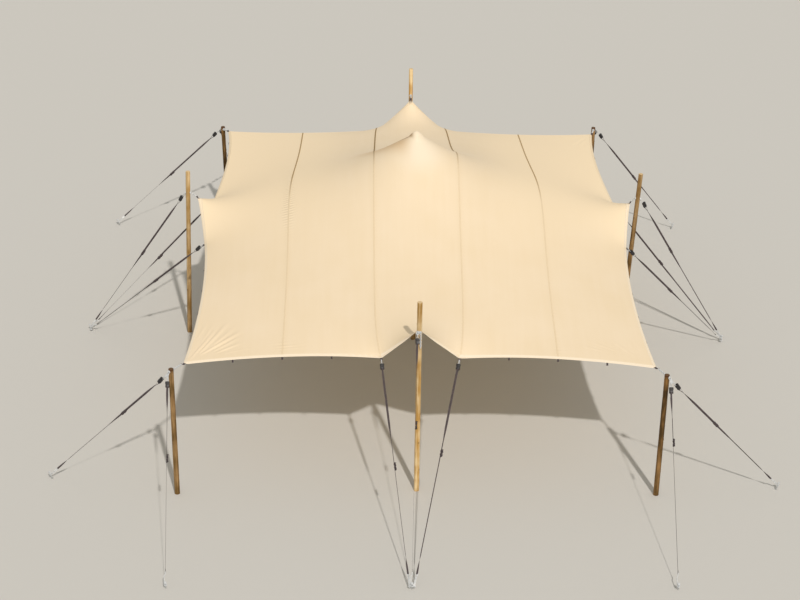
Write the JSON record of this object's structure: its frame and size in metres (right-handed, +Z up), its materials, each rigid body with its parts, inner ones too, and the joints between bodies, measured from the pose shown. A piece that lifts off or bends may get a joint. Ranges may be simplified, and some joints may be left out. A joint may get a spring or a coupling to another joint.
{
  "type": "stretch tent",
  "caption": "Open-sided stretch tent: a sand-coloured membrane drawn over a centre pole, tied to timber edge poles and held down by ratchet straps and ground stakes.",
  "frame": {"origin": "foot of the centre pole, on the ground", "axes": "+Z up, +Y from the front edge to the back edge, +X to the right seen from the front"},
  "size_m": [12.7872, 16.4872, 4.456],
  "materials": {
    "cloth": "matt coated stretch cloth",
    "timber": "oiled round timber",
    "webbing": "woven polyester webbing",
    "steel": "galvanised"
  },
  "bodies": {
    "root": {"left_outer_panel": "cloth", "left_inner_panel": "cloth", "centre_panel": "cloth", "right_inner_panel": "cloth", "right_outer_panel": "cloth", "centre_pole": "timber", "front_pole": "timber", "back_pole": "timber", "left_pole": "timber", "right_pole": "timber", "front_left_pole": "timber", "front_right_pole": "timber", "back_left_pole": "timber", "back_right_pole": "timber", "front_chain": "steel", "back_chain": "steel", "left_chain": "steel", "right_chain": "steel", "front_left_chain": "steel", "front_right_chain": "steel", "back_left_chain": "steel", "back_right_chain": "steel", "front_stake": "steel", "back_stake": "steel", "left_stake": "steel", "right_stake": "steel", "front_left_front_stake": "steel", "front_left_side_stake": "steel", "front_right_front_stake": "steel", "front_right_side_stake": "steel", "back_left_back_stake": "steel", "back_left_side_stake": "steel", "back_right_back_stake": "steel", "back_right_side_stake": "steel", "front_pole_strap": "webbing", "back_pole_strap": "webbing", "left_pole_strap": "webbing", "right_pole_strap": "webbing", "front_left_front_strap": "webbing", "front_left_side_strap": "webbing", "front_right_front_strap": "webbing", "front_right_side_strap": "webbing", "back_left_back_strap": "webbing", "back_left_side_strap": "webbing", "back_right_back_strap": "webbing", "back_right_side_strap": "webbing", "front_left_edge_strap": "webbing", "front_right_edge_strap": "webbing", "back_left_edge_strap": "webbing", "back_right_edge_strap": "webbing", "left_front_edge_strap": "webbing", "left_back_edge_strap": "webbing", "right_front_edge_strap": "webbing", "right_back_edge_strap": "webbing"}
  },
  "joints": []
}
